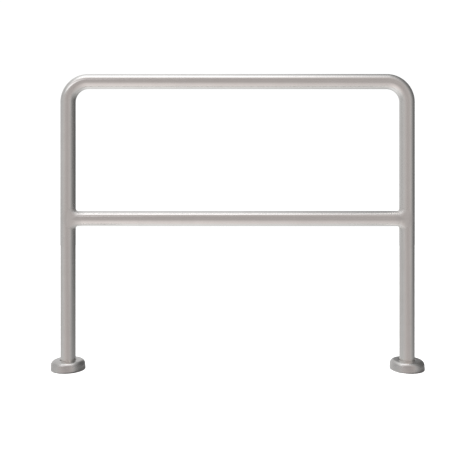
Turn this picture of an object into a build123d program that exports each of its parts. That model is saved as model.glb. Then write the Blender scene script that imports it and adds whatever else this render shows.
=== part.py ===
"""Floor-standing hoop handrail in stainless tube, with a knee rail and covered feet.

The hoop stands across X, with its width along X, its depth along Y and +Z up.
The origin is on the floor, midway between the posts. All sizes are millimetres.
"""

import os
from math import sqrt

from build123d import *

os.makedirs("parts", exist_ok=True)

# Overall size
overall_width = 1200.0  # across the outsides of the posts
overall_height = 1000.0  # floor to the top of the top rail
mid_rail_height = 510.0  # floor to the axis of the knee rail

# Tube of the posts, elbows and rails
tube_diameter = 50.8
tube_wall = 2.0
bend_radius = 70.0  # on the centre line of the elbows
elbow_straight = 8.0  # straight end of an elbow, before its bend begins

# Butt welds between the elbows and the tubes, ground flush
root_gap = 1.0  # space between the tube ends, filled by the weld
bevel = 1.2  # chamfer on the outer edge of each tube end

# Saddle welds between the knee rail and the posts, dressed smooth
cope_clearance = 0.1  # between the coped rail end and the post
corner_radius = 8.0  # round of the dressed corner between rail and post
weld_fit = 0.05  # between a weld and the round tube that it hugs

# Floor plates
flange_thickness = 8.0
flange_chamfer = 1.0
socket_depth = 3.0  # turned seat in the plate that the post stands in
socket_clearance = 0.1
fillet_leg = 5.0  # leg length of the weld between post and plate
anchor_count = 4
anchor_hole_diameter = 11.0  # clears an M10 anchor
washer_diameter = 20.0
washer_clearance = 0.6  # from the washer to the weld
anchor_edge_distance = 11.0  # from the hole's axis to the rim of the plate

# Covers
cover_height = 33.0
cover_sheet = 1.2
cover_side_room = 2.5  # between the plate and the edge of the cover's rim
rim_lip = 1.0  # flat edge of the rim that lies on the floor
rim_radius = 2.5  # roll from that edge up into the wall
cover_draft = 1.5  # how far the wall leans in towards the top
shoulder_radius = 15.0
crown_rise = 1.5  # how much the top climbs from its shoulder to the neck
neck_length = 8.0  # turned down round the post
neck_radius = 2.0  # bend from the top into the neck
neck_fit = 0.05  # between the neck and the grip ring inside it

# Rubber grip rings in the necks of the covers
grip_clearance = 0.3  # to the post that the ring slides on
grip_thickness = 1.0
grip_lip = 2.0  # how far the lip under the neck stands out
grip_lip_height = 1.5

# Places and radii that follow from the sizes above
tube_radius = tube_diameter / 2
bore_radius = tube_radius - tube_wall
post_axis = overall_width / 2 - tube_radius
top_rail_axis = overall_height - tube_radius
elbow_reach = bend_radius + elbow_straight
post_foot = flange_thickness - socket_depth
post_top = top_rail_axis - elbow_reach - root_gap
top_rail_half = post_axis - elbow_reach - root_gap
anchor_circle = tube_diameter + 2 * fillet_leg + 2 * washer_clearance + washer_diameter
flange_diameter = anchor_circle + 2 * anchor_edge_distance
cover_rim_edge = flange_diameter / 2 + cover_side_room
cover_radius = cover_rim_edge + rim_lip + rim_radius
grip_inner = tube_radius + grip_clearance
grip_outer = grip_inner + grip_thickness
neck_foot = cover_height - neck_length
sides = {"left": -1, "right": 1}


def save(piece, name):
    """Name a finished piece and write it to its own file."""
    piece.label = name
    export_step(piece, f"parts/{name}.step")


def draw_tube_section():
    """Draw the ring that every tube is cut from, in the sketch that is open."""
    Circle(tube_radius)
    Circle(bore_radius, mode=Mode.SUBTRACT)


def outer_end_edges(part, axis):
    """Give the outer edge at each end of a round tube that lies along an axis."""
    rings = part.edges().filter_by(GeomType.CIRCLE)
    outer = rings.filter_by(lambda edge: edge.radius > (tube_radius + bore_radius) / 2)
    return outer.sort_by(axis)


def make_post(side):
    """Upright tube, standing in the socket of its floor plate, bevelled at the top."""
    with BuildPart() as post:
        with BuildSketch(Plane((side * post_axis, 0, post_foot))):
            draw_tube_section()
        extrude(amount=post_top - post_foot)
        chamfer(outer_end_edges(post, Axis.Z)[-1], bevel)
    return post.part


def make_elbow(side):
    """Ninety degree bend with straight ends, bevelled for its two butt welds."""
    with BuildPart() as elbow:
        with BuildLine(Plane.XZ) as path:
            rise = Line(
                (side * post_axis, top_rail_axis - elbow_reach),
                (side * post_axis, top_rail_axis - bend_radius),
            )
            bend = RadiusArc(
                rise @ 1,
                (side * (post_axis - bend_radius), top_rail_axis),
                -side * bend_radius,
            )
            Line(bend @ 1, (side * (post_axis - elbow_reach), top_rail_axis))
        with BuildSketch(Plane((side * post_axis, 0, top_rail_axis - elbow_reach))):
            draw_tube_section()
        sweep(path=path.wires()[0])
        low_end = elbow.edges().group_by(Axis.Z)[0].sort_by(SortBy.LENGTH)[-1]
        inner_end = elbow.edges().group_by(Axis.X)[0 if side > 0 else -1].sort_by(SortBy.LENGTH)[-1]
        chamfer([low_end, inner_end], bevel)
    return elbow.part


def make_butt_weld(plane):
    """Ring that fills the bevelled gap between two tube ends, flush in and out."""
    half_gap = root_gap / 2
    with BuildPart() as weld:
        with BuildSketch(Plane(plane.origin, x_dir=plane.x_dir, z_dir=-plane.y_dir)):
            with BuildLine():
                Polyline(
                    (bore_radius, -half_gap),
                    (bore_radius, half_gap),
                    (tube_radius - bevel, half_gap),
                    (tube_radius, half_gap + bevel),
                    (tube_radius, -half_gap - bevel),
                    (tube_radius - bevel, -half_gap),
                    close=True,
                )
            make_face()
        revolve(axis=Axis(plane.origin, plane.z_dir))
    return weld.part


def make_mid_rail_weld(side):
    """Dressed weld in the corners between the knee rail and its post.

    Two equal round tubes meet along two half ellipses, one above the rail's axis and one
    below. In each corner the weld is dressed to the round of a ball that rolls along it
    and touches both tubes, so it is deepest at the top and bottom of the rail and runs
    out in front and behind, where the tubes are tangent. The quarter that lies on the
    post above the rail is drawn, and mirrored onto the rail and then to below it.
    """
    joint = Vector(side * post_axis, 0, mid_rail_height)
    inward = Vector(-side, 0, 0)
    upward = Vector(0, 0, 1)
    ball_track = tube_radius + corner_radius
    with BuildPart() as weld:
        with BuildSketch(Plane(joint)):
            Circle(ball_track)
            Circle(tube_radius + weld_fit, mode=Mode.SUBTRACT)
        extrude(amount=ball_track)
        with BuildSketch(Plane(joint, x_dir=inward, z_dir=inward.cross(upward))):
            Polygon((0, 0), (ball_track, ball_track), (tube_radius, ball_track), align=None)
        extrude(amount=ball_track, both=True, mode=Mode.INTERSECT)
        with BuildLine(Plane(joint, x_dir=inward + upward, z_dir=inward - upward)):
            track = EllipticalCenterArc(
                (0, 0),
                ball_track * sqrt(2),
                ball_track,
                start_angle=-90,
                arc_size=180,
            )
        with BuildSketch(Plane(track @ 0, x_dir=track @ 0 - joint, z_dir=track % 0)):
            Circle(corner_radius)
        sweep(path=track, mode=Mode.SUBTRACT)
        mirror(about=Plane(joint, z_dir=inward - upward))
        mirror(about=Plane(joint, z_dir=upward))
    return weld.part


def make_base_flange(side):
    """Round floor plate with a turned socket for the post and a circle of anchor holes."""
    floor_spot = Plane((side * post_axis, 0, 0))
    with BuildPart(floor_spot) as flange:
        with BuildSketch(floor_spot):
            Circle(flange_diameter / 2)
        extrude(amount=flange_thickness)
        chamfer(flange.faces().sort_by(Axis.Z)[-1].edges(), flange_chamfer)
        with BuildSketch(flange.faces().sort_by(Axis.Z)[-1]):
            Circle(tube_radius + socket_clearance)
        extrude(amount=-socket_depth, mode=Mode.SUBTRACT)
        with PolarLocations(anchor_circle / 2, anchor_count):
            Hole(anchor_hole_diameter / 2)
    return flange.part


def make_flange_weld(side):
    """Fillet weld round the foot of the post, on top of the floor plate."""
    inner = tube_radius + weld_fit
    with BuildPart() as weld:
        with BuildSketch(Plane.XZ.shift_origin((side * post_axis, 0, 0))):
            with BuildLine():
                Polyline(
                    (inner, flange_thickness),
                    (inner + fillet_leg, flange_thickness),
                    (inner, flange_thickness + fillet_leg),
                    close=True,
                )
            make_face()
        revolve(axis=Axis((side * post_axis, 0, 0), (0, 0, 1)))
    return weld.part


def make_base_cover(side):
    """Spun sheet cover: rolled rim, upright wall, soft shoulder, raised top, turned-down neck."""
    neck_skin = grip_outer + neck_fit
    with BuildPart() as cover:
        with BuildSketch(Plane.XZ.shift_origin((side * post_axis, 0, 0))):
            with BuildLine():
                FilletPolyline(
                    (cover_rim_edge, 0),
                    (cover_radius, 0),
                    (cover_radius - cover_draft, cover_height - crown_rise),
                    (neck_skin, cover_height),
                    (neck_skin, neck_foot),
                    radius=(rim_radius, shoulder_radius, neck_radius),
                )
                offset(amount=cover_sheet, side=Side.LEFT)
            make_face()
        revolve(axis=Axis((side * post_axis, 0, 0), (0, 0, 1)))
    return cover.part


def make_grip_ring(side):
    """Rubber ring inside the cover's neck, with a lip that hooks under the neck."""
    lip_foot = neck_foot - grip_lip_height
    ring_top = cover_height - neck_radius - cover_sheet
    with BuildPart() as ring:
        with BuildSketch(Plane.XZ.shift_origin((side * post_axis, 0, 0))):
            with BuildLine():
                Polyline(
                    (grip_inner, lip_foot),
                    (grip_outer + grip_lip, lip_foot),
                    (grip_outer + grip_lip, neck_foot),
                    (grip_outer, neck_foot),
                    (grip_outer, ring_top),
                    (grip_inner, ring_top),
                    close=True,
                )
            make_face()
        revolve(axis=Axis((side * post_axis, 0, 0), (0, 0, 1)))
    return ring.part


# Top rail: straight tube between the elbows, bevelled at both ends
with BuildPart() as top_rail:
    with BuildSketch(Plane((0, 0, top_rail_axis), x_dir=(0, 1, 0), z_dir=(1, 0, 0))):
        draw_tube_section()
    extrude(amount=top_rail_half, both=True)
    chamfer([outer_end_edges(top_rail, Axis.X)[0], outer_end_edges(top_rail, Axis.X)[-1]], bevel)
save(top_rail.part, "top_rail")

# Knee rail: straight tube whose ends are coped to the round of the posts
with BuildPart() as mid_rail:
    with BuildSketch(Plane((0, 0, mid_rail_height), x_dir=(0, 1, 0), z_dir=(1, 0, 0))):
        draw_tube_section()
    extrude(amount=post_axis, both=True)
    with Locations((-post_axis, 0, mid_rail_height), (post_axis, 0, mid_rail_height)):
        Cylinder(tube_radius + cope_clearance, 2 * tube_diameter, mode=Mode.SUBTRACT)
save(mid_rail.part, "mid_rail")

for side_name, side in sides.items():
    post_joint = Plane((side * post_axis, 0, post_top + root_gap / 2))
    rail_joint = Plane(
        (side * (top_rail_half + root_gap / 2), 0, top_rail_axis),
        x_dir=(0, 1, 0),
        z_dir=(1, 0, 0),
    )
    save(make_post(side), f"{side_name}_post")
    save(make_elbow(side), f"{side_name}_elbow")
    save(make_butt_weld(post_joint), f"{side_name}_elbow_post_weld")
    save(make_butt_weld(rail_joint), f"{side_name}_elbow_rail_weld")
    save(make_mid_rail_weld(side), f"{side_name}_mid_rail_weld")
    save(make_base_flange(side), f"{side_name}_base_flange")
    save(make_flange_weld(side), f"{side_name}_flange_weld")
    save(make_base_cover(side), f"{side_name}_base_cover")
    save(make_grip_ring(side), f"{side_name}_cover_grip_ring")
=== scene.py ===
# %% [markdown]
# # A floor-standing hoop handrail
# The real object is a hoop of satin stainless tube: two posts, two elbows, a top rail and a
# knee rail, welded into one frame. Each post stands on a round floor plate, and a spun cover
# that slides on the post hides the plate and its anchor holes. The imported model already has
# every piece in its real place. This lesson makes the pieces again as clean meshes that carry
# a map of their grain, gives each one its finish, and sets up a small studio around the hoop.

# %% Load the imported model
from functools import partial
from math import cos, hypot, pi, radians, sin, tan

import bmesh
import bpy
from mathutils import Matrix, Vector


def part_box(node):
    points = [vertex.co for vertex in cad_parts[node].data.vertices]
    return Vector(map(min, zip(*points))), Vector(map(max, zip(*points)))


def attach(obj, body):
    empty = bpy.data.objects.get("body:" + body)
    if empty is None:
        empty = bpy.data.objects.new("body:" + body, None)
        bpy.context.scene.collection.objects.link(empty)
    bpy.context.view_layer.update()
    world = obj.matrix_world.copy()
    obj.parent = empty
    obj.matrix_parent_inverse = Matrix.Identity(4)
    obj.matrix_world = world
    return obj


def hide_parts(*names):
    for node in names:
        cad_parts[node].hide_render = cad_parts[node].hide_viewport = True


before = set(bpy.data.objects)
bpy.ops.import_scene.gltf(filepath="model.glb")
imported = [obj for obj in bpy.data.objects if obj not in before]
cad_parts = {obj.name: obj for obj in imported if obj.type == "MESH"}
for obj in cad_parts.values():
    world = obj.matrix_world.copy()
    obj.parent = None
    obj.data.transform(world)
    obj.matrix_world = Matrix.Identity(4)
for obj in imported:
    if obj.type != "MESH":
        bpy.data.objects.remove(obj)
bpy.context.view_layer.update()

# %% [markdown]
# ## Measure the hoop
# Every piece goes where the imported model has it, so places and diameters are read from the
# boxes round the model's nodes. Typing them in again would work too, until somebody changes
# the model. Only what a box can't show, such as the wall of a tube, is a number below.

# %% Read the places from the model
mm = 0.001
sides = {"left": -1, "right": 1}
up = Vector((0, 0, 1))
to_right = Vector((1, 0, 0))

rail_low, rail_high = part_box("mid_rail")
post_low, post_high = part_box("right_post")
elbow_low, elbow_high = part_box("right_elbow")

tube_radius = (rail_high.z - rail_low.z) / 2
mid_rail_axis = (rail_high.z + rail_low.z) / 2
post_axis = (post_low.x + post_high.x) / 2
top_rail_axis = elbow_high.z - tube_radius
top_rail_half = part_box("top_rail")[1].x
feet = {name: Vector((side * post_axis, 0, 0)) for name, side in sides.items()}
inwards = {name: Vector((-side, 0, 0)) for name, side in sides.items()}
print(f"tube {2 * tube_radius / mm:.1f} mm, posts {2 * post_axis / mm:.1f} mm apart")

# %% [markdown]
# ## Colours and nodes
# A renderer adds light in linear numbers, but colours are picked as sRGB hex values, as on a
# paint card, so one function turns the second into the first. Another one adds a node to a
# tree, with its settings and its links in one call. Wiring nodes by hand in the editor does
# the same, but a script can be read from top to bottom and gives the same tree every time.

# %% Helpers for colours and nodes
MATH = "ShaderNodeMath"
VECTOR_MATH = "ShaderNodeVectorMath"
NOISE = "ShaderNodeTexNoise"
MAP_RANGE = "ShaderNodeMapRange"
MIX = "ShaderNodeMix"


def to_linear(hex_colour):
    """Turn an sRGB hex colour into the linear RGBA that a node takes."""
    linear = []
    for start in (1, 3, 5):
        channel = int(hex_colour[start:start + 2], 16) / 255
        linear.append(channel / 12.92 if channel <= 0.04045 else ((channel + 0.055) / 1.055) ** 2.4)
    return (*linear, 1.0)


def add_node(tree, kind, inputs=None, **settings):
    """Add a node to a tree.

    An input is a value, a socket, or a node, of which the first live output is linked.
    """
    node = tree.nodes.new(kind)
    for name, value in settings.items():
        setattr(node, name, value)
    for key, value in (inputs or {}).items():
        if isinstance(value, bpy.types.Node):
            value = next(output for output in value.outputs if output.enabled)
        if isinstance(value, bpy.types.NodeSocket):
            tree.links.new(value, node.inputs[key])
        else:
            node.inputs[key].default_value = value
    return node


def new_material(name):
    """Start a material with an empty tree, and give it back with the function that adds its nodes."""
    material = bpy.data.materials.new(name)
    material.use_nodes = True
    material.node_tree.nodes.clear()
    return material, partial(add_node, material.node_tree)


def set_stops(ramp, stops):
    """Give a colour ramp its stops, each a position and a linear colour."""
    elements = ramp.color_ramp.elements
    while len(elements) < len(stops):
        elements.new(1.0)
    for element, (position, colour) in zip(elements, stops):
        element.position = position
        element.color = colour


print("mid grey is", to_linear("#808080"))

# %% [markdown]
# ## Satin ground stainless steel
# The tube is chromium-nickel stainless steel. It turns against a grinding belt, so its
# scratches lie round the tube: a reflection keeps its edges across the tube, and is drawn out
# along it. A picture of scratches could be wrapped round the tube, but it would show a seam
# and repeat itself. Noise with four dimensions has neither fault. Three of them follow the
# place in space, slowly, and the fourth runs quickly along the piece, which pulls the noise
# out into scratches. The real ones are about 0.1 mm apart, far finer than a pixel, so they
# are drawn ten times as coarse. Broad lanes are where the belt passed over the tube twice.

# %% Tones and gloss of a worked surface
usual_wear = (0.7, 1.3)  # the sum of two noises mostly lies between these


def worked_surface(add, first_noise, second_noise, colours, roughness):
    """Two tones that follow the first noise, and a gloss that follows both."""
    tone = add(
        MIX,
        {"Factor": first_noise, "A": to_linear(colours[0]), "B": to_linear(colours[1])},
        data_type="RGBA",
    )
    gloss = add(
        MAP_RANGE,
        {
            "Value": add(MATH, {0: first_noise, 1: second_noise}, operation="ADD"),
            "From Min": usual_wear[0],
            "From Max": usual_wear[1],
            "To Min": roughness[0],
            "To Max": roughness[1],
        },
    )
    return tone, gloss


print("tone and gloss can vary together")

# %% The satin finish
lane = (35 * mm, 140 * mm)  # width of a belt's pass along the piece, and its length round it
scratch_depth = 0.006 * mm
full_blend = 0.4  # share of a dressed spot's reach, from its middle, that is blended fully


def satin_stainless(name, colours, roughness, stretch, scratch, dressed=None):
    """Brushed steel whose scratches cross the first direction of its grain_map.

    scratch is the spacing of the scratches and their length. dressed is the centre of a spot
    that was blended by hand, the same on both sides of the hoop, with its reach and roughness.
    """
    material, add = new_material(name)
    place = add("ShaderNodeTexCoord").outputs["Object"]
    grain_map = add("ShaderNodeUVMap", uv_map="grain_map")
    run = add("ShaderNodeSeparateXYZ", {"Vector": grain_map}).outputs["X"]
    scratches, lanes = [
        add(
            NOISE,
            {
                "Vector": add(VECTOR_MATH, {0: place, "Scale": 1 / length}, operation="SCALE"),
                "W": add(MATH, {0: run, 1: 1 / spacing}, operation="MULTIPLY"),
                "Scale": 1.0,
                "Detail": 3.0,
            },
            noise_dimensions="4D",
        )
        for spacing, length in (scratch, lane)
    ]
    tone, gloss = worked_surface(add, scratches, lanes, colours, roughness)
    if dressed:
        centre, reach, hand_roughness = dressed
        folded = add(VECTOR_MATH, {0: place}, operation="ABSOLUTE")
        away = add(VECTOR_MATH, {0: folded, 1: centre}, operation="DISTANCE")
        by_hand = add(
            MAP_RANGE,
            {
                "Value": away,
                "From Min": full_blend * reach,
                "From Max": reach,
                "To Min": 1.0,
                "To Max": 0.0,
            },
            interpolation_type="SMOOTHSTEP",
        )
        gloss = add(MIX, {"Factor": by_hand, "A": gloss, "B": hand_roughness})
    shader = add(
        "ShaderNodeBsdfPrincipled",
        {
            "Base Color": tone,
            "Metallic": 1.0,
            "Roughness": gloss,
            "Anisotropic": stretch,
            "Tangent": add("ShaderNodeTangent", direction_type="UV_MAP", uv_map="grain_map"),
            "Normal": add("ShaderNodeBump", {"Distance": scratch_depth, "Height": scratches}),
        },
    )
    add("ShaderNodeOutputMaterial", {"Surface": shader})
    return material


print("brushed steel can be made")

# %% The tubes' finish
# A pale, slightly warm grey with a long soft sheen. At the knee rail's joints the belt marks are
# blended by hand, so reflections lose their edges there
blend_shift = 0.8 * tube_radius
blend_centre = Vector((post_axis - blend_shift, 0, mid_rail_axis))
blend_reach = 50 * mm
blend_roughness = 0.50
satin_tube = satin_stainless(
    "satin_ground_stainless_tube",
    colours=("#cbc9c6", "#c3c0bd"),
    roughness=(0.20, 0.28),
    stretch=0.8,
    scratch=(1.0 * mm, 60 * mm),
    dressed=(blend_centre, blend_reach, blend_roughness),
)
print("made", satin_tube.name)

# %% [markdown]
# ## A lathe whose axis may bend
# Tubes, elbows, weld rings, floor plates, covers and rubber rings are one kind of shape: an
# outline of radius against distance, carried round an axis. On the elbows the axis turns a
# corner. A Screw modifier could turn the straight pieces, and a bevelled curve could make the
# elbows, but neither leaves a map of the grain. So one Geometry Nodes tree lays out a grid,
# with one row of points for each point of the outline, and puts each point where a rule says.

# %% The lathe's inputs
never = 10.0  # a bend that starts this far along, in metres, is never reached
lathe_sides = 128
bent_lathe = bpy.data.node_groups.new("bent_lathe", "GeometryNodeTree")
lathe_node = partial(add_node, bent_lathe)
lathe_inputs = (
    ("Outline", "NodeSocketGeometry", None),
    ("Start", "NodeSocketVector", None),
    ("Along", "NodeSocketVector", None),
    ("Turn Towards", "NodeSocketVector", None),
    ("Length", "NodeSocketFloat", None),
    ("Bend Start", "NodeSocketFloat", never),
    ("Bend Radius", "NodeSocketFloat", 1.0),
    ("Cope Radius", "NodeSocketFloat", 0.0),
    ("Sides", "NodeSocketInt", lathe_sides),
    ("Material", "NodeSocketMaterial", None),
)


def open_tree(tree, inputs):
    """Give a tree its named inputs and its one output, and hand back the inputs' sockets."""
    for name, kind, start_value in inputs:
        socket = tree.interface.new_socket(name, in_out="INPUT", socket_type=kind)
        if start_value is not None:
            socket.default_value = start_value
    tree.interface.new_socket("Piece", in_out="OUTPUT", socket_type="NodeSocketGeometry")
    return add_node(tree, "NodeGroupInput").outputs


lathe_in = open_tree(bent_lathe, lathe_inputs)
print("the lathe takes", [name for name, _, _ in lathe_inputs])

# %% A grid with a row for each point of the outline
outline_size = lathe_node(
    "GeometryNodeAttributeDomainSize",
    {"Geometry": lathe_in["Outline"]},
    component="MESH",
)
columns = lathe_node("FunctionNodeIntegerMath", {0: lathe_in["Sides"], 1: 1}, operation="ADD")
grid = lathe_node(
    "GeometryNodeMeshGrid",
    {"Vertices X": outline_size.outputs["Point Count"], "Vertices Y": columns},
)
index = lathe_node("GeometryNodeInputIndex")
row = lathe_node("FunctionNodeIntegerMath", {0: index, 1: columns}, operation="DIVIDE_FLOOR")
column = lathe_node("FunctionNodeIntegerMath", {0: index, 1: columns}, operation="MODULO")
turns = lathe_node(MATH, {0: column, 1: lathe_in["Sides"]}, operation="DIVIDE")
angle = lathe_node(MATH, {0: turns, 1: 2 * pi}, operation="MULTIPLY")
print("each grid point knows its row and its turn")

# %% The outline's point for each row, carried round
position = lathe_node("GeometryNodeInputPosition")
outline_point = lathe_node(
    "GeometryNodeSampleIndex",
    {"Geometry": lathe_in["Outline"], "Value": position, "Index": row},
    data_type="FLOAT_VECTOR",
)
run_attribute = lathe_node("GeometryNodeInputNamedAttribute", {"Name": "run"}, data_type="FLOAT")
outline_run = lathe_node(
    "GeometryNodeSampleIndex",
    {"Geometry": lathe_in["Outline"], "Value": run_attribute, "Index": row},
    data_type="FLOAT",
)
point_parts = lathe_node("ShaderNodeSeparateXYZ", {"Vector": outline_point})
point_radius = point_parts.outputs["X"]
sine = lathe_node(MATH, {0: angle}, operation="SINE")
cosine = lathe_node(MATH, {0: angle}, operation="COSINE")
aside = lathe_node(MATH, {0: point_radius, 1: sine}, operation="MULTIPLY")
lift = lathe_node(MATH, {0: point_radius, 1: cosine}, operation="MULTIPLY")
print("a point stands aside and lifts off the axis")

# %% [markdown]
# The knee rail's ends are coped: they are cut to the round of the posts. A boolean could cut
# them, but a coped end is only a tube whose points stop short, by the depth of the round at
# that place. So the lathe holds each point's distance between the two rounds.

# %% Coped ends
cope_radius = lathe_in["Cope Radius"]
cope_square = lathe_node(MATH, {0: cope_radius, 1: cope_radius}, operation="MULTIPLY")
aside_square = lathe_node(MATH, {0: aside, 1: aside}, operation="MULTIPLY")
round_square = lathe_node(MATH, {0: cope_square, 1: aside_square}, operation="SUBTRACT")
round_real = lathe_node(MATH, {0: round_square, 1: 0.0}, operation="MAXIMUM")
first_stop = lathe_node(MATH, {0: round_real}, operation="SQRT")
last_stop = lathe_node(MATH, {0: lathe_in["Length"], 1: first_stop}, operation="SUBTRACT")
distance = lathe_node(
    "ShaderNodeClamp",
    {"Value": point_parts.outputs["Z"], "Min": first_stop, "Max": last_stop},
)
print("a cope of radius 0 leaves an end square")

# %% [markdown]
# The axis runs straight up to the start of its bend, turns a quarter circle, and runs straight
# on. On the bend, a point further out travels further, which is what stretches the outer wall
# of a real elbow.

# %% The bend of the axis
bend_end = lathe_node(
    MATH,
    {0: lathe_in["Bend Radius"], 1: pi / 2, 2: lathe_in["Bend Start"]},
    operation="MULTIPLY_ADD",
)
bend = lathe_node(
    MAP_RANGE,
    {"Value": distance, "From Min": lathe_in["Bend Start"], "From Max": bend_end, "To Max": pi / 2},
)
bend_sine = lathe_node(MATH, {0: bend}, operation="SINE")
bend_cosine = lathe_node(MATH, {0: bend}, operation="COSINE")
before = lathe_node(MATH, {0: distance, 1: lathe_in["Bend Start"]}, operation="MINIMUM")
past = lathe_node(MATH, {0: distance, 1: bend_end}, operation="SUBTRACT")
after = lathe_node(MATH, {0: past, 1: 0.0}, operation="MAXIMUM")
reach_out = lathe_node(MATH, {0: lathe_in["Bend Radius"], 1: lift}, operation="ADD")
forward = lathe_node(MATH, {0: reach_out, 1: bend_sine, 2: before}, operation="MULTIPLY_ADD")
pulled_in = lathe_node(MATH, {0: reach_out, 1: bend_cosine}, operation="MULTIPLY")
turned_on = lathe_node(MATH, {0: lathe_in["Bend Radius"], 1: after}, operation="ADD")
sideways = lathe_node(MATH, {0: turned_on, 1: pulled_in}, operation="SUBTRACT")
print("the axis can turn a quarter circle")

# %% Put each point in its place and keep the map of the grain
across = lathe_node(
    VECTOR_MATH,
    {0: lathe_in["Along"], 1: lathe_in["Turn Towards"]},
    operation="CROSS_PRODUCT",
)
ways = (
    (lathe_in["Along"], forward),
    (lathe_in["Turn Towards"], sideways),
    (across, aside),
)
spot = lathe_in["Start"]
for direction, amount in ways:
    step = lathe_node(VECTOR_MATH, {0: direction, "Scale": amount}, operation="SCALE")
    spot = lathe_node(VECTOR_MATH, {0: spot, 1: step}, operation="ADD")
turned_grid = lathe_node("GeometryNodeSetPosition", {"Geometry": grid, "Position": spot})
grain_point = lathe_node("ShaderNodeCombineXYZ", {"X": outline_run, "Y": turns})
mapped_grid = lathe_node(
    "GeometryNodeStoreNamedAttribute",
    {"Geometry": turned_grid, "Name": "grain_map", "Value": grain_point},
    data_type="FLOAT2",
    domain="CORNER",
)
print("the map runs along the outline and round the axis")

# %% Close a tree
doubles = 0.001 * mm
real_corner = radians(25)


def close_tree(add, geometry, material):
    """Merge doubles, leave only real corners sharp, set the material and end the tree."""
    merged = add("GeometryNodeMergeByDistance", {"Geometry": geometry, "Distance": doubles})
    smooth = add(
        "GeometryNodeSetShadeSmooth",
        {"Geometry": merged, "Shade Smooth": True},
        domain="FACE",
    )
    fold = add("GeometryNodeInputMeshEdgeAngle").outputs["Unsigned Angle"]
    corner = add("FunctionNodeCompare", {0: fold, 1: real_corner}, operation="GREATER_THAN")
    sharp = add(
        "GeometryNodeSetShadeSmooth",
        {"Geometry": smooth, "Selection": corner, "Shade Smooth": False},
        domain="EDGE",
    )
    real = add("GeometryNodeRealizeInstances", {"Geometry": sharp})
    finished = add("GeometryNodeSetMaterial", {"Geometry": real, "Material": material})
    add("NodeGroupOutput", {"Piece": finished})


close_tree(lathe_node, mapped_grid, lathe_in["Material"])
print("the lathe has", len(bent_lathe.nodes), "nodes")

# %% [markdown]
# A tree's inputs are set on the modifier that holds it, by each socket's identifier. Then the
# evaluated object is copied to a plain mesh and the modifier goes, because a finished piece
# must be a mesh that stands by itself.

# %% Use a tree on a piece
def apply_tree(piece, tree, sizes):
    """Run a mesh object through a tree and keep the plain mesh that comes out."""
    modifier = piece.modifiers.new(tree.name, "NODES")
    modifier.node_group = tree
    for socket in tree.interface.items_tree:
        if socket.name in sizes:
            modifier[socket.identifier] = sizes[socket.name]
    depsgraph = bpy.context.evaluated_depsgraph_get()
    made = bpy.data.meshes.new_from_object(
        piece.evaluated_get(depsgraph), preserve_all_data_layers=True, depsgraph=depsgraph
    )
    used = piece.data
    piece.modifiers.clear()
    piece.data = made
    bpy.data.meshes.remove(used)
    made.name = piece.name
    return piece


print("a tree's result can be kept as a mesh")

# %% [markdown]
# Every piece starts as a mesh of points. For the lathe they are the points of the outline, and
# each one keeps how far along the outline it lies, which becomes the first direction of the
# grain's map. Drawing the map by hand would work too, but it would have to be drawn again after
# each change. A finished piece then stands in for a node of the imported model.

# %% Start, turn and hand over a piece
def new_piece(name, points, edges=(), faces=()):
    """Put a mesh with these points into the scene."""
    mesh = bpy.data.meshes.new(name)
    mesh.from_pydata(points, edges, faces)
    piece = bpy.data.objects.new(name, mesh)
    bpy.context.scene.collection.objects.link(piece)
    return piece


def turned_piece(name, outline, material, start, along, turn, sizes=None):
    """Turn a closed outline of (radius, distance) points into a finished mesh object."""
    ring = [*outline, outline[0]]
    piece = new_piece(name, [(r, 0, s) for r, s in ring], [(i, i + 1) for i in range(len(outline))])
    run = piece.data.attributes.new("run", "FLOAT", "POINT")
    travelled = 0.0
    for i in range(1, len(ring)):
        travelled += hypot(ring[i][0] - ring[i - 1][0], ring[i][1] - ring[i - 1][1])
        run.data[i].value = travelled
    values = {
        "Start": start,
        "Along": along,
        "Turn Towards": turn,
        "Length": max(s for _, s in outline),
        "Material": material,
    }
    return apply_tree(piece, bent_lathe, values | (sizes or {}))


def stand_in(piece, node, body):
    """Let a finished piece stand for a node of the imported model."""
    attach(piece, body)
    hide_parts(node)
    print(piece.name, len(piece.data.polygons), "faces")


print("pieces can be turned and handed over")

# %% [markdown]
# ## Tubes and elbows
# All of the hoop is cut from one round tube with a 2 mm wall. Its ends are bevelled where
# they are butt welded, so that the weld goes through the wall. An elbow is the same tube, bent
# round a former, with a short straight end on both sides of the bend. A solid rod would look
# the same from outside, but the wall is made too, because the piece is also kept as a mesh.

# %% The two rails
tube_wall = 2.0 * mm
end_bevel = 1.2 * mm
cope_clearance = 0.1 * mm
bore_radius = tube_radius - tube_wall


def tube_outline(length, bevels=(end_bevel, end_bevel), stations=24):
    """The wall of a tube: along the outside, round the end, and back along the bore."""
    first, last = bevels
    steps = [i / stations for i in range(stations + 1)]
    outside = [(tube_radius, first + (length - first - last) * step) for step in steps]
    inside = [(bore_radius, length * (1 - step)) for step in steps]
    start_face = [(tube_radius - first, 0)] if first else []
    end_face = [(tube_radius - last, length)] if last else []
    return start_face + outside + end_face + inside


top_rail = turned_piece(
    "top_rail_tube",
    tube_outline(2 * top_rail_half),
    satin_tube,
    Vector((-top_rail_half, 0, top_rail_axis)),
    to_right,
    up,
)
stand_in(top_rail, "top_rail", "frame")

mid_rail = turned_piece(
    "mid_rail_tube",
    tube_outline(2 * post_axis, bevels=(0, 0)),
    satin_tube,
    Vector((-post_axis, 0, mid_rail_axis)),
    to_right,
    up,
    {"Cope Radius": tube_radius + cope_clearance},
)
stand_in(mid_rail, "mid_rail", "frame")

# %% The posts and elbows
elbow_straight = 8.0 * mm
bend_radius = top_rail_axis - elbow_low.z - elbow_straight
elbow_length = 2 * elbow_straight + bend_radius * pi / 2
elbow_stations = 64  # a bend needs more rows of points than a straight tube

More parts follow.
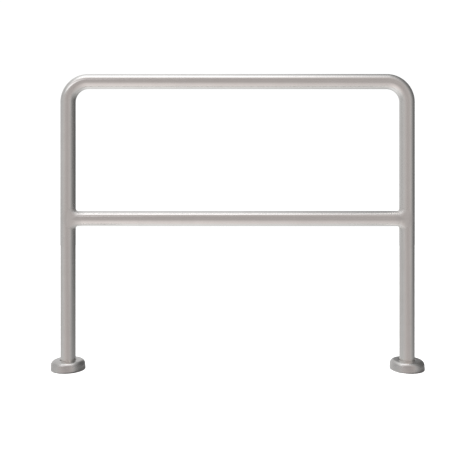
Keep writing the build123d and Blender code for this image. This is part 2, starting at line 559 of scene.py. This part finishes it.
for side_name in sides:
    post = turned_piece(
        f"{side_name}_post_tube",
        tube_outline(post_high.z - post_low.z, bevels=(0, end_bevel)),
        satin_tube,
        feet[side_name] + up * post_low.z,
        up,
        inwards[side_name],
    )
    stand_in(post, f"{side_name}_post", "frame")
    elbow = turned_piece(
        f"{side_name}_elbow_tube",
        tube_outline(elbow_length, stations=elbow_stations),
        satin_tube,
        feet[side_name] + up * elbow_low.z,
        up,
        inwards[side_name],
        {"Bend Start": elbow_straight, "Bend Radius": bend_radius},
    )
    stand_in(elbow, f"{side_name}_elbow", "frame")
print(f"elbows bend on a radius of {bend_radius / mm:.1f} mm")

# %% [markdown]
# ## Butt welds
# An elbow is joined to its post and to the top rail by a weld that fills the gap between the
# bevels. It is ground flush with the same belt as the tube, so on the real hoop it can hardly
# be seen. Leaving it out would show a groove, so each one is a ring with the tube's finish.

# %% Rings of weld metal at the elbows
def butt_weld_outline(width):
    """A ring that fills the gap between two bevelled tube ends, flush in and out."""
    return [
        (tube_radius - end_bevel, end_bevel),
        (tube_radius, 0),
        (tube_radius, width),
        (tube_radius - end_bevel, width - end_bevel),
        (bore_radius, width - end_bevel),
        (bore_radius, end_bevel),
    ]


for side_name in sides:
    low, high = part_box(f"{side_name}_elbow_post_weld")
    ring = turned_piece(
        f"{side_name}_elbow_post_weld_ring",
        butt_weld_outline(high.z - low.z),
        satin_tube,
        feet[side_name] + up * low.z,
        up,
        inwards[side_name],
    )
    stand_in(ring, f"{side_name}_elbow_post_weld", "frame")
    low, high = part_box(f"{side_name}_elbow_rail_weld")
    ring = turned_piece(
        f"{side_name}_elbow_rail_weld_ring",
        butt_weld_outline(high.x - low.x),
        satin_tube,
        Vector((low.x, 0, top_rail_axis)),
        to_right,
        up,
    )
    stand_in(ring, f"{side_name}_elbow_rail_weld", "frame")

# %% [markdown]
# ## Finishes with no direction
# Weld metal that was dressed by hand, pickled plate and moulded rubber have no grain, so one
# function serves all three: soft patches of two tones, and a fine grit that breaks up the
# gloss. A dressed weld was worked with a flap wheel from all sides. It has the colour of the
# tube, but it scatters light more, so it shows a soft sheen where the tube shows an edge.

# %% The even finish
def even_finish(name, colours, roughness, patch, grit, grit_depth, metallic):
    """Soft patches of two tones, and a fine grit in the gloss and in the surface."""
    material, add = new_material(name)
    place = add("ShaderNodeTexCoord").outputs["Object"]
    patches = add(NOISE, {"Vector": place, "Scale": 1 / patch, "Detail": 5.0})
    grains = add(NOISE, {"Vector": place, "Scale": 1 / grit, "Detail": 2.0})
    tone, gloss = worked_surface(add, patches, grains, colours, roughness)
    shader = add(
        "ShaderNodeBsdfPrincipled",
        {
            "Base Color": tone,
            "Metallic": metallic,
            "Roughness": gloss,
            "Normal": add("ShaderNodeBump", {"Distance": grit_depth, "Height": grains}),
        },
    )
    add("ShaderNodeOutputMaterial", {"Surface": shader})
    return material


# The tube's pale grey with a soft, even sheen. The marks of a flap wheel are about 0.2 mm wide,
# and are drawn five times as coarse
dressed_weld = even_finish(
    "flap_wheel_dressed_weld",
    colours=("#cbc9c6", "#c3c0bd"),
    roughness=(0.50, 0.60),
    patch=6 * mm,
    grit=1.0 * mm,
    grit_depth=0.01 * mm,
    metallic=1.0,
)
print("made", dressed_weld.name)

# %% [markdown]
# ## Dressed saddle welds
# Where the knee rail meets a post, the weld is dressed until no seam is left: above and below
# the rail it is a tight round, and towards the front and the back it widens, so the two tubes
# run into each other as they do in a pipe tee. A Bevel modifier on two joined tubes would come
# close, but it has one radius, and it stumbles where the corner runs out in front and behind.
# So each section of the weld is worked out: its root, between the tubes, and the arc of a ball
# that touches both of them. The ball grows so that the arc always ends on the same two lines,
# one across the post and one across the rail.

# %% Sections of a weld
corner_radius = 8.0 * mm
weld_fit = 0.05 * mm
sections, arc_steps = 64, 12
run_out = 0.05  # keeps the ball's size finite in front and behind, where the tubes are tangent
hug = tube_radius + weld_fit
weld_reach = tube_radius + corner_radius


def weld_section(swing):
    """The root and the arc of the weld, from the tubes' crossing, at one place of the ball."""
    leg = weld_reach - hug * cos(swing)
    ball = leg * (1 + run_out) / (cos(swing) + run_out)
    track = hug + ball
    centre = Vector((track * cos(swing), track * sin(swing), track * cos(swing)))
    to_post = Vector((hug * cos(swing), hug * sin(swing), centre.z)) - centre
    to_rail = Vector((centre.x, hug * sin(swing), hug * cos(swing))) - centre
    section = [centre * (hug / track)]
    for step in range(arc_steps + 1):
        spoke = to_post.slerp(to_rail, step / arc_steps, to_post).normalized()
        section.append(centre + spoke * ball)
    return section


print(f"the arcs end {weld_reach / mm:.1f} mm from the crossing of the axes")

# %% The welds between the knee rail and the posts
def saddle_weld(name, side):
    """Two dressed corners, one above and one below the knee rail."""
    points, faces = [], []
    width = arc_steps + 2
    for rise in (1, -1):
        first = len(points)
        for i in range(sections + 1):
            for p in weld_section(pi * (i / sections - 0.5)):
                points.append((side * (post_axis - p.x), p.y, mid_rail_axis + rise * p.z))
        for i in range(sections):
            here, there = first + i * width, first + (i + 1) * width
            for j in range(width):
                k = (j + 1) % width
                face = (here + j, here + k, there + k, there + j)
                faces.append(face if side * rise < 0 else face[::-1])
    return new_piece(name, points, faces=faces)


def close_piece(piece, material):
    """Merge a mesh's doubles and smooth all but its real corners."""
    work = bmesh.new()
    work.from_mesh(piece.data)
    bmesh.ops.remove_doubles(work, verts=work.verts, dist=doubles)
    for face in work.faces:
        face.smooth = True
    for edge in work.edges:
        edge.smooth = edge.calc_face_angle(0) < real_corner
    work.to_mesh(piece.data)
    work.free()
    piece.data.materials.append(material)


for side_name, side in sides.items():
    weld = saddle_weld(f"{side_name}_knee_rail_weld", side)
    close_piece(weld, dressed_weld)
    stand_in(weld, f"{side_name}_mid_rail_weld", "frame")

# %% [markdown]
# ## Floor plates
# A floor plate is cut from 8 mm plate and pickled in acid, which leaves it dull and a little
# mottled. It has a turned seat for the post and four holes for M10 anchors. The lathe turns
# the plate. An Array modifier could repeat a drill round the plate, but a tree keeps the number
# of holes and their circle as named inputs: it sets one drill on each point of a circle and
# takes the drills out of the plate with a boolean.

# %% The drilling tree
anchor_holes = 4
drill_sides = 48
drilling = bpy.data.node_groups.new("drilled_circle", "GeometryNodeTree")
drill_node = partial(add_node, drilling)
drill_in = open_tree(
    drilling,
    (
        ("Plate", "NodeSocketGeometry", None),
        ("Centre", "NodeSocketVector", None),
        ("Circle Radius", "NodeSocketFloat", None),
        ("Hole Radius", "NodeSocketFloat", None),
        ("Drill Length", "NodeSocketFloat", None),
        ("Holes", "NodeSocketInt", anchor_holes),
        ("Material", "NodeSocketMaterial", None),
    ),
)
hole_circle = drill_node(
    "GeometryNodeMeshCircle",
    {"Vertices": drill_in["Holes"], "Radius": drill_in["Circle Radius"]},
)
hole_spots = drill_node(
    "GeometryNodeSetPosition",
    {"Geometry": hole_circle, "Offset": drill_in["Centre"]},
)
drill = drill_node(
    "GeometryNodeMeshCylinder",
    {"Vertices": drill_sides, "Radius": drill_in["Hole Radius"], "Depth": drill_in["Drill Length"]},
)
drills = drill_node("GeometryNodeInstanceOnPoints", {"Points": hole_spots, "Instance": drill})
drill_meshes = drill_node("GeometryNodeRealizeInstances", {"Geometry": drills})
drilled = drill_node(
    "GeometryNodeMeshBoolean",
    {"Mesh 1": drill_in["Plate"], "Mesh 2": drill_meshes},
    operation="DIFFERENCE",
    solver="EXACT",
)
close_tree(drill_node, drilled, drill_in["Material"])
print("the drilling tree has", len(drilling.nodes), "nodes")

# %% The floor plates
plate_chamfer = 1.0 * mm
socket_clearance = 0.1 * mm
hole_circle_radius = 41.0 * mm
hole_radius = 5.5 * mm
drill_reach = 3  # the drills are this many plates long, so they pass right through

# Pickling leaves a pale, dull grey with a faint mottle and no direction. Its etched grit is about
# 0.1 mm wide, and is drawn eight times as coarse
pickled_plate = even_finish(
    "pickled_stainless_plate",
    colours=("#b7b5b2", "#a3a2a0"),
    roughness=(0.42, 0.58),
    patch=8 * mm,
    grit=0.8 * mm,
    grit_depth=0.02 * mm,
    metallic=1.0,
)

for side_name in sides:
    low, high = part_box(f"{side_name}_base_flange")
    plate_radius = (high.x - low.x) / 2
    seat_radius = tube_radius + socket_clearance
    plate_outline = [
        (0, low.z),
        (plate_radius, low.z),
        (plate_radius, high.z - plate_chamfer),
        (plate_radius - plate_chamfer, high.z),
        (seat_radius, high.z),
        (seat_radius, post_low.z),
        (0, post_low.z),
    ]
    plate = turned_piece(
        f"{side_name}_floor_plate",
        plate_outline,
        pickled_plate,
        feet[side_name],
        up,
        inwards[side_name],
    )
    drill_sizes = {
        "Centre": feet[side_name],
        "Circle Radius": hole_circle_radius,
        "Hole Radius": hole_radius,
        "Drill Length": drill_reach * (high.z - low.z),
        "Material": pickled_plate,
    }
    apply_tree(plate, drilling, drill_sizes)
    stand_in(plate, f"{side_name}_base_flange", "frame")

# %% [markdown]
# ## Fillet welds at the feet
# The covers hide these welds, so nobody grinds them. An arc welder adds a drop of metal at a
# time, and each drop freezes as a crescent over the last one, about 2 mm apart. The heat
# leaves thin oxide at both edges, which looks straw, bronze and blue. A bump in the material
# would not show at the outline of the bead, so a tree sinks the valleys into the mesh: a
# saw-tooth along the bead, bowed across it, deepest in the middle of the face.

# %% Heat-tinted weld metal
fillet_leg = 5.0 * mm
tint_patch = 7 * mm
tint_wander = 0.2  # share of the face's width over which the tints stray
heat_tints = (
    (0.00, "#7f828c"),
    (0.10, "#a18a6c"),
    (0.22, "#b8a98c"),
    (0.36, "#c2bfba"),
    (0.64, "#c2bfba"),
    (0.78, "#b8a98c"),
    (0.90, "#a18a6c"),
    (1.00, "#7f828c"),
)


def heat_tinted_weld(name, face_start, face_length, roughness):
    """Bright weld metal whose two edges are tinted by heat, told by the run across its face."""
    material, add = new_material(name)
    place = add("ShaderNodeTexCoord").outputs["Object"]
    grain_map = add("ShaderNodeUVMap", uv_map="grain_map")
    run = add("ShaderNodeSeparateXYZ", {"Vector": grain_map}).outputs["X"]
    uneven = add(NOISE, {"Vector": place, "Scale": 1 / tint_patch, "Detail": 3.0})
    share = add(
        MAP_RANGE,
        {"Value": run, "From Min": face_start, "From Max": face_start + face_length},
    )
    strayed = add(MATH, {0: uneven, 1: tint_wander, 2: share}, operation="MULTIPLY_ADD")
    centred = add(MATH, {0: strayed, 1: tint_wander / 2}, operation="SUBTRACT")
    tint = add("ShaderNodeValToRGB", {"Fac": centred})
    set_stops(tint, [(place_across, to_linear(colour)) for place_across, colour in heat_tints])
    gloss = add(MAP_RANGE, {"Value": uneven, "To Min": roughness[0], "To Max": roughness[1]})
    shader = add("ShaderNodeBsdfPrincipled", {"Base Color": tint, "Metallic": 1.0, "Roughness": gloss})
    add("ShaderNodeOutputMaterial", {"Surface": shader})
    return material


# Bright metal along the middle of the bead, with straw, bronze and blue towards its edges
tig_weld = heat_tinted_weld(
    "heat_tinted_weld_bead",
    face_start=fillet_leg,
    face_length=hypot(fillet_leg, fillet_leg),
    roughness=(0.22, 0.40),
)
print("made", tig_weld.name)

# %% The rippling tree
middle_scale = 4.0  # in the middle of the face both shares are a half, so their product is a quarter
rippling = bpy.data.node_groups.new("weld_ripples", "GeometryNodeTree")
ripple_node = partial(add_node, rippling)
ripple_in = open_tree(
    rippling,
    (
        ("Bead", "NodeSocketGeometry", None),
        ("Root", "NodeSocketVector", None),
        ("Root Radius", "NodeSocketFloat", None),
        ("Leg", "NodeSocketFloat", None),
        ("Ripples", "NodeSocketInt", None),
        ("Depth", "NodeSocketFloat", None),
        ("Bow", "NodeSocketFloat", 0.6),
        ("Wander", "NodeSocketFloat", 0.5),
        ("Seed", "NodeSocketFloat", 4.0),
        ("Material", "NodeSocketMaterial", None),
    ),
)
from_root = ripple_node(
    VECTOR_MATH,
    {0: ripple_node("GeometryNodeInputPosition"), 1: ripple_in["Root"]},
    operation="SUBTRACT",
)
root_parts = ripple_node("ShaderNodeSeparateXYZ", {"Vector": from_root}).outputs
flat_out = ripple_node("ShaderNodeCombineXYZ", {"X": root_parts["X"], "Y": root_parts["Y"]})
out_length = ripple_node(VECTOR_MATH, {0: flat_out}, operation="LENGTH")
out_past_root = ripple_node(MATH, {0: out_length, 1: ripple_in["Root Radius"]}, operation="SUBTRACT")
out_share = ripple_node(MATH, {0: out_past_root, 1: ripple_in["Leg"]}, operation="DIVIDE")
up_share = ripple_node(MATH, {0: root_parts["Z"], 1: ripple_in["Leg"]}, operation="DIVIDE")
both_shares = ripple_node(MATH, {0: out_share, 1: up_share}, operation="MULTIPLY")
belly = ripple_node(MATH, {0: both_shares, 1: middle_scale}, operation="MULTIPLY")
print("the belly is 1 in the middle of the face and 0 at its edges")

# %% Sink the valleys between the drops
shake_length = 6 * mm  # how far a welder's hand moves before it strays another way
heading = ripple_node(MATH, {0: root_parts["Y"], 1: root_parts["X"]}, operation="ARCTAN2")
turns_round = ripple_node(MATH, {0: heading, 1: 2 * pi}, operation="DIVIDE")
drops = ripple_node(MATH, {0: turns_round, 1: ripple_in["Ripples"]}, operation="MULTIPLY")
bowed = ripple_node(MATH, {0: belly, 1: ripple_in["Bow"], 2: drops}, operation="MULTIPLY_ADD")
hand_shake = ripple_node(
    NOISE,
    {"Vector": from_root, "W": ripple_in["Seed"], "Scale": 1 / shake_length, "Detail": 1.0},
    noise_dimensions="4D",
)
shaken = ripple_node(MATH, {0: hand_shake, 1: ripple_in["Wander"], 2: bowed}, operation="MULTIPLY_ADD")
half_turns = ripple_node(MATH, {0: shaken, 1: pi}, operation="MULTIPLY")
wave = ripple_node(MATH, {0: half_turns}, operation="SINE")
crest = ripple_node(MATH, {0: wave}, operation="ABSOLUTE")
valley = ripple_node(MATH, {0: 1.0, 1: crest}, operation="SUBTRACT")
sag = ripple_node(MATH, {0: valley, 1: belly}, operation="MULTIPLY")
sink = ripple_node(MATH, {0: sag, 1: ripple_in["Depth"]}, operation="MULTIPLY")
outward = ripple_node(VECTOR_MATH, {0: flat_out}, operation="NORMALIZE")
face_way = ripple_node(VECTOR_MATH, {0: outward, 1: up}, operation="ADD")
unit_way = ripple_node(VECTOR_MATH, {0: face_way}, operation="NORMALIZE")
inward = ripple_node(MATH, {0: sink, 1: -1.0}, operation="MULTIPLY")
offset = ripple_node(VECTOR_MATH, {0: unit_way, "Scale": inward}, operation="SCALE")
rippled = ripple_node("GeometryNodeSetPosition", {"Geometry": ripple_in["Bead"], "Offset": offset})
close_tree(ripple_node, rippled, ripple_in["Material"])
print("the rippling tree has", len(rippling.nodes), "nodes")

# %% The welds between the posts and the plates
ripple_spacing = 2.2 * mm
ripple_depth = 0.45 * mm
points_per_ripple = 6
face_rows = 8
ripples = round(2 * pi * (hug + fillet_leg / 2) / ripple_spacing)

for side_name in sides:
    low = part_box(f"{side_name}_flange_weld")[0]
    face_steps = [i / face_rows for i in range(face_rows + 1)]
    face = [(hug + fillet_leg * (1 - step), low.z + fillet_leg * step) for step in face_steps]
    bead = turned_piece(
        f"{side_name}_foot_weld",
        [(hug, low.z), *face],
        tig_weld,
        feet[side_name],
        up,
        inwards[side_name],
        {"Sides": ripples * points_per_ripple},
    )
    ripple_sizes = {
        "Root": feet[side_name] + up * low.z,
        "Root Radius": hug,
        "Leg": fillet_leg,
        "Ripples": ripples,
        "Depth": ripple_depth,
        "Material": tig_weld,
    }
    apply_tree(bead, rippling, ripple_sizes)
    stand_in(bead, f"{side_name}_flange_weld", "frame")

# %% [markdown]
# ## Spun covers
# A cover is a disc of 1.2 mm stainless sheet, pressed over a turning former by a roller: a
# rolled rim on the floor, an upright wall, a soft shoulder, a top that climbs a little, and a
# neck that is turned down round the post. Spinning is a lathe's work, so the lathe makes it.
# Both sides of the sheet follow one path of straight runs and arcs about the same centres,
# which keeps the sheet evenly thick, as a Solidify modifier would, but with true arcs.

# %% The path of a sheet
def sheet_outline(corners, radii, sheet, steps=12):
    """Both sides of a sheet along a path that turns left at each corner, rounded by its radius."""
    corners = [Vector(corner) for corner in corners]
    runs = [(b - a).normalized() for a, b in zip(corners, corners[1:])]
    lefts = [Vector((-run.y, run.x)) for run in runs]
    outside = [corners[0]]
    inside = [corners[0] + lefts[0] * sheet]
    for corner, radius, run, left, next_left in zip(corners[1:], radii, runs, lefts, lefts[1:]):
        reach = radius * tan(left.angle(next_left) / 2)
        centre = corner - run * reach + left * radius
        for step in range(steps + 1):
            spoke = left.slerp(next_left, step / steps)
            outside.append(centre - spoke * radius)
            inside.append(centre - spoke * (radius - sheet))
    outside.append(corners[-1])
    inside.append(corners[-1] + lefts[-1] * sheet)
    return [tuple(point) for point in outside + inside[::-1]]


print("a sheet can follow a path with rounded corners")

# %% The cover's sizes
cover_height = 33.0 * mm
cover_sheet = 1.2 * mm
cover_side_room = 2.5 * mm
rim_lip = 1.0 * mm
rim_radius = 2.5 * mm
cover_draft = 1.5 * mm
shoulder_radius = 15.0 * mm
crown_rise = 1.5 * mm
neck_length = 8.0 * mm
neck_radius = 2.0 * mm
neck_fit = 0.05 * mm
grip_clearance = 0.3 * mm
grip_thickness = 1.0 * mm

grip_inner = tube_radius + grip_clearance
grip_outer = grip_inner + grip_thickness
neck_skin = grip_outer + neck_fit
neck_foot = cover_height - neck_length
rim_edge = plate_radius + cover_side_room
cover_radius = rim_edge + rim_lip + rim_radius
cover_outline = sheet_outline(
    [
        (rim_edge, 0),
        (cover_radius, 0),
        (cover_radius - cover_draft, cover_height - crown_rise),
        (neck_skin, cover_height),
        (neck_skin, neck_foot),
    ],
    (rim_radius, shoulder_radius, neck_radius),
    cover_sheet,
)
print(f"covers are {2 * cover_radius / mm:.0f} mm across and {cover_height / mm:.0f} mm high")

# %% [markdown]
# The roller and a scouring pad leave rings on the cover, so its scratches run round it too. It
# is duller than the tube: the pad is held by hand, and it wanders more than a belt does. Its
# scratches are about 0.1 mm apart, and are drawn eight times as coarse.

# %% The covers
# A rounder, softer sheen than the tube's, on a slightly darker grey
spun_cover = satin_stainless(
    "spun_stainless_cover",
    colours=("#c0bebb", "#b5b2b0"),
    roughness=(0.22, 0.30),
    stretch=0.3,
    scratch=(0.8 * mm, 30 * mm),
)
for side_name in sides:
    cover = turned_piece(
        f"{side_name}_spun_cover",
        cover_outline,
        spun_cover,
        feet[side_name],
        up,
        inwards[side_name],
    )
    stand_in(cover, f"{side_name}_base_cover", f"{side_name}_cover")

# %% [markdown]
# ## Rubber grip rings
# A moulded rubber ring in the neck of each cover keeps it centred on the post, and its lip hooks
# under the neck. A torus would be quicker to make, but it has no lip, so the lathe turns the
# ring from its outline. It rides on the cover's body, so it slides with the cover.

# %% The grip rings
# Moulded black rubber: matt, with a faint grey bloom. The mould leaves a grit of about 0.1 mm,
# which is drawn four times as coarse
grip_rubber = even_finish(
    "moulded_black_rubber",
    colours=("#1c1c1d", "#2a2a2b"),
    roughness=(0.62, 0.82),
    patch=5 * mm,
    grit=0.4 * mm,
    grit_depth=0.02 * mm,
    metallic=0.0,
)
grip_lip = 2.0 * mm

for side_name in sides:
    low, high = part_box(f"{side_name}_cover_grip_ring")
    ring_outline = [
        (grip_inner, low.z),
        (grip_outer + grip_lip, low.z),
        (grip_outer + grip_lip, neck_foot),
        (grip_outer, neck_foot),
        (grip_outer, high.z),
        (grip_inner, high.z),
    ]
    ring = turned_piece(
        f"{side_name}_rubber_grip_ring",
        ring_outline,
        grip_rubber,
        feet[side_name],
        up,
        inwards[side_name],
    )
    stand_in(ring, f"{side_name}_cover_grip_ring", f"{side_name}_cover")

# %% [markdown]
# ## The light table
# The hoop stands on a white table that glows a little from below, which keeps the ground of
# the picture white and leaves only a faint shadow at the covers. A bare white floor would turn
# grey towards the back. Polished metal would mirror the table as one hard white field, so the
# table is hidden from reflections, and the surround below gives the metal a graded floor.

# %% The floor
floor_half_width = 4.0  # the studio is measured in metres
floor_front, floor_back = -1.6, 4.0
table_glow = 0.8
floor = new_piece(
    "studio_floor",
    [
        (-floor_half_width, floor_front, 0),
        (floor_half_width, floor_front, 0),
        (floor_half_width, floor_back, 0),
        (-floor_half_width, floor_back, 0),
    ],
    faces=[(0, 1, 2, 3)],
)
floor.visible_glossy = False
light_table, table_node = new_material("white_light_table")
table_shader = table_node(
    "ShaderNodeBsdfPrincipled",
    {
        "Base Color": to_linear("#f4f4f4"),
        "Roughness": 0.9,
        "Specular IOR Level": 0.0,
        "Emission Color": to_linear("#ffffff"),
        "Emission Strength": table_glow,
    },
)
table_node("ShaderNodeOutputMaterial", {"Surface": table_shader})
floor.data.materials.append(light_table)
print("the floor is", 2 * floor_half_width, "m wide")

# %% [markdown]
# ## Painted floor shade at the feet
# Where a cover meets the ground, a photographer wants a darker line, so that it stands instead
# of floating. Darkening the rim's own finish would show from every side and at every pose. So a
# grey disc of painted shade lies under each foot, pushed to the right, where the light is
# weakest, and only reflections see it: the rolled rim mirrors it as the cover's shadow on the floor.

# %% The painted floor shade
card_reach = 12 * mm
card_push = 14 * mm
card_lift = 0.2 * mm
card_sides = 64
card_radius = cover_radius + card_reach
grey_card, card_node = new_material("grey_card")
# The grey is painted shade: it stands in for the cover's shadow on the floor, and only reflections see
# it
card_shader = card_node("ShaderNodeBsdfDiffuse", {"Color": to_linear("#787878")})
card_node("ShaderNodeOutputMaterial", {"Surface": card_shader})
for side_name, foot in feet.items():
    card_centre = foot + to_right * card_push + up * card_lift
    card_points = []
    for i in range(card_sides):
        bearing = 2 * pi * i / card_sides
        card_points.append(card_centre + card_radius * Vector((cos(bearing), sin(bearing), 0)))
    card = new_piece(f"{side_name}_grey_card", card_points, faces=[tuple(range(card_sides))])
    card.data.materials.append(grey_card)
    card.visible_camera = False
    card.visible_diffuse = False
    card.visible_shadow = False
print("two cards lie at the feet")

# %% [markdown]
# ## Softboxes
# Satin steel draws each lamp as a streak, so a photographer hangs the lamps where the streaks
# should be. A wide dim softbox and a brighter strip hang high and to the left: they draw the
# bright line along both rails, which fades to the right. A low strip, close above the hoop,
# brings the top rail's line further to the front and hardly moves the knee rail's. A softbox in
# front at the left draws a second streak on the left elbow and lights the covers' shoulders.
# Blender's area lights have hard edges, and satin steel would show them, so each softbox is a
# plane whose glow fades towards its edges, like lit cloth. Its cloth only adds light to what is
# behind it, so no softbox hides another.

# %% A softbox
even_share = 0.25  # share of a softbox, from its middle, that glows evenly


def softbox(name, centre, aim, width, depth, radiance):
    """A flat light that is brightest in the middle and fades out towards its edges."""
    half_width, half_depth = width / 2, depth / 2
    panel = new_piece(
        name,
        [
            (-half_width, -half_depth, 0),
            (half_width, -half_depth, 0),
            (half_width, half_depth, 0),
            (-half_width, half_depth, 0),
        ],
        faces=[(0, 1, 2, 3)],
    )
    material, add = new_material(f"{name}_cloth")
    place = add("ShaderNodeTexCoord").outputs["Object"]
    from_middle = add(VECTOR_MATH, {0: place}, operation="ABSOLUTE")
    share = add(VECTOR_MATH, {0: from_middle, 1: (half_width, half_depth, 1.0)}, operation="DIVIDE")
    share_parts = add("ShaderNodeSeparateXYZ", {"Vector": share}).outputs
    glow = radiance
    for part in (share_parts["X"], share_parts["Y"]):
        fade = add(
            MAP_RANGE,
            {"Value": part, "From Min": even_share, "From Max": 1.0, "To Min": 1.0, "To Max": 0.0},
            interpolation_type="SMOOTHSTEP",
        )
        glow = add(MATH, {0: fade, 1: glow}, operation="MULTIPLY")
    cloth = add("ShaderNodeEmission", {"Color": to_linear("#f6faff"), "Strength": glow})
    veil = add("ShaderNodeAddShader", {0: cloth, 1: add("ShaderNodeBsdfTransparent")})
    add("ShaderNodeOutputMaterial", {"Surface": veil})
    panel.data.materials.append(material)
    panel.location = centre
    panel.rotation_euler = (Vector(aim) - Vector(centre)).to_track_quat("-Z", "Y").to_euler()
    panel.visible_camera = False
    print(name, "is", width, "by", depth, "m")


print("a softbox can be hung anywhere")

# %% Hang the softboxes
softbox(
    "overhead_softbox",
    centre=(-0.6, 0.2, 3.6),
    aim=(-0.6, 0.2, 0.0),
    width=4.8,
    depth=5.2,
    radiance=0.45,
)
softbox(
    "overhead_strip_light",
    centre=(-0.6, -0.4, 3.5),
    aim=(-0.6, -0.4, 0.0),
    width=4.8,
    depth=1.4,
    radiance=1.0,
)
softbox(
    "low_strip_light",
    centre=(-0.35, -0.28, 1.45),
    aim=(-0.35, -0.28, 0.0),
    width=2.8,
    depth=0.40,
    radiance=0.65,
)
softbox(
    "front_left_softbox",
    centre=(-1.8, -1.5, 2.0),
    aim=(-0.5, 0.0, 0.9),
    width=2.0,
    depth=0.8,
    radiance=1.4,
)

# %% [markdown]
# ## The surround
# Metal shows what stands around it. The studio is brighter towards its floor, dim at eye
# level, darkest at the right, and a little warm behind the camera. A photographed panorama
# could hold that, but two ramps say it in a few numbers: one of light against height, and one
# of light against the way round. The second fades out towards the ceiling and towards the
# floor, which is lit a little more from the left. In the corners between two pieces light is
# reflected more than once and would turn dark, so the surround is brighter for those rays. The
# camera itself sees a plain white backdrop.

# %% Angles of the surround
world = bpy.data.worlds.new("studio_surround")
bpy.context.scene.world = world
world.use_nodes = True
world.node_tree.nodes.clear()
world_node = partial(add_node, world.node_tree)
ray_way = world_node("ShaderNodeTexCoord").outputs["Generated"]
ray = world_node("ShaderNodeSeparateXYZ", {"Vector": ray_way}).outputs
to_camera = world_node(MATH, {0: ray["Y"], 1: -1.0}, operation="MULTIPLY")
azimuth = world_node(MATH, {0: ray["X"], 1: to_camera}, operation="ARCTAN2")
elevation = world_node(MATH, {0: ray["Z"]}, operation="ARCSINE")


def level_ramp(angle, limit, levels):
    """Levels against an angle that runs from -limit to limit, in degrees."""
    share = world_node(
        MAP_RANGE,
        {"Value": angle, "From Min": radians(-limit), "From Max": radians(limit)},
    )
    ramp = world_node("ShaderNodeValToRGB", {"Fac": share})
    set_stops(ramp, [((at + limit) / (2 * limit), (level, level, level, 1.0)) for at, level in levels])
    return ramp


print("azimuth 0 is towards the camera, elevation 0 is level")

# %% Levels of the surround
by_height = level_ramp(
    elevation,
    90,
    (
        (-90, 1.22),
        (-52, 1.11),
        (-35, 0.97),
        (-20, 0.75),
        (-13, 0.66),
        (0, 0.67),
        (27, 0.62),
        (45, 0.72),
        (60, 0.85),
        (90, 0.80),
    ),
)
by_side = level_ramp(
    azimuth,
    180,
    (
        (-180, 1.25),
        (-165, 1.30),
        (-130, 1.30),
        (-107, 1.10),
        (-87, 1.15),
        (-65, 1.25),
        (-42, 1.24),
        (-24, 1.10),
        (-10, 1.00),
        (10, 1.00),
        (24, 1.12),
        (40, 1.22),
        (52, 1.10),
        (62, 0.80),
        (75, 0.48),
        (96, 0.34),
        (125, 0.27),
        (150, 0.30),
        (165, 0.45),
        (180, 1.25),
    ),
)
side_share = level_ramp(
    elevation, 90, ((-90, 0.0), (-45, 0.0), (-15, 0.55), (-6, 1.0), (45, 1.0), (75, 0.0))
)
front_share = level_ramp(azimuth, 180, ((-70, 0.0), (-30, 1.0), (30, 1.0), (60, 0.0)))
print("the surround has its levels")

# %% Tints and levels together
floor_spread = 0.3  # a ray this far to either side meets the floor's full change of level
left_floor_level, right_floor_level = 1.18, 0.84
warm_white = to_linear("#fff8f7")
cool_white = to_linear("#fdfeff")
from_left = world_node(
    MAP_RANGE,
    {
        "Value": ray["X"],
        "From Min": -floor_spread,
        "From Max": floor_spread,
        "To Min": left_floor_level,
        "To Max": right_floor_level,
    },
)
sided = world_node(MIX, {"Factor": side_share, "A": from_left, "B": by_side}, data_type="RGBA")
surround_light = world_node(
    MIX,
    {"Factor": 1.0, "A": by_height, "B": sided},
    data_type="RGBA",
    blend_type="MULTIPLY",
)
surround_tint = world_node(
    MIX,
    {"Factor": front_share, "A": cool_white, "B": warm_white},
    data_type="RGBA",
)
tinted_light = world_node(
    MIX,
    {"Factor": 1.0, "A": surround_light, "B": surround_tint},
    data_type="RGBA",
    blend_type="MULTIPLY",
)
print("the surround is warm in front and cool elsewhere")

# %% What the camera and the corners see
backdrop_level = 1.05  # a little past white, so that the ground of the picture is plain white
backdrop = (backdrop_level, backdrop_level, backdrop_level, 1.0)
first_depth, second_depth = 2.0, 3.0  # ray depths after one reflection and after two
corner_level = 1.7
light_path = world_node("ShaderNodeLightPath").outputs
shown = world_node(
    MIX,
    {"Factor": light_path["Is Camera Ray"], "A": tinted_light, "B": backdrop},
    data_type="RGBA",
)
corner_lift = world_node(
    MAP_RANGE,
    {
        "Value": light_path["Ray Depth"],
        "From Min": first_depth,
        "From Max": second_depth,
        "To Min": 1.0,
        "To Max": corner_level,
    },
)
background = world_node("ShaderNodeBackground", {"Color": shown, "Strength": corner_lift})
world_node("ShaderNodeOutputWorld", {"Surface": background})
print("the surround has", len(world.node_tree.nodes), "nodes")

# %% [markdown]
# ## The camera
# The camera stands a little above the middle of the hoop, level, 2.2 m in front of it. A tilted
# camera would make the posts lean, so the lens is shifted down instead, as on a view camera.

# %% The camera
camera_data = bpy.data.cameras.new("camera")
camera_data.sensor_width = 36.0
camera_data.lens = 51.9
camera_data.shift_y = -0.106
camera = bpy.data.objects.new("camera", camera_data)
camera.location = (-0.0425, -2.2, 0.65)
camera.rotation_euler = (radians(90), 0, 0)
bpy.context.scene.collection.objects.link(camera)
bpy.context.scene.camera = camera
bpy.context.scene.view_settings.view_transform = "Standard"
print("the camera stands at", tuple(camera.location))
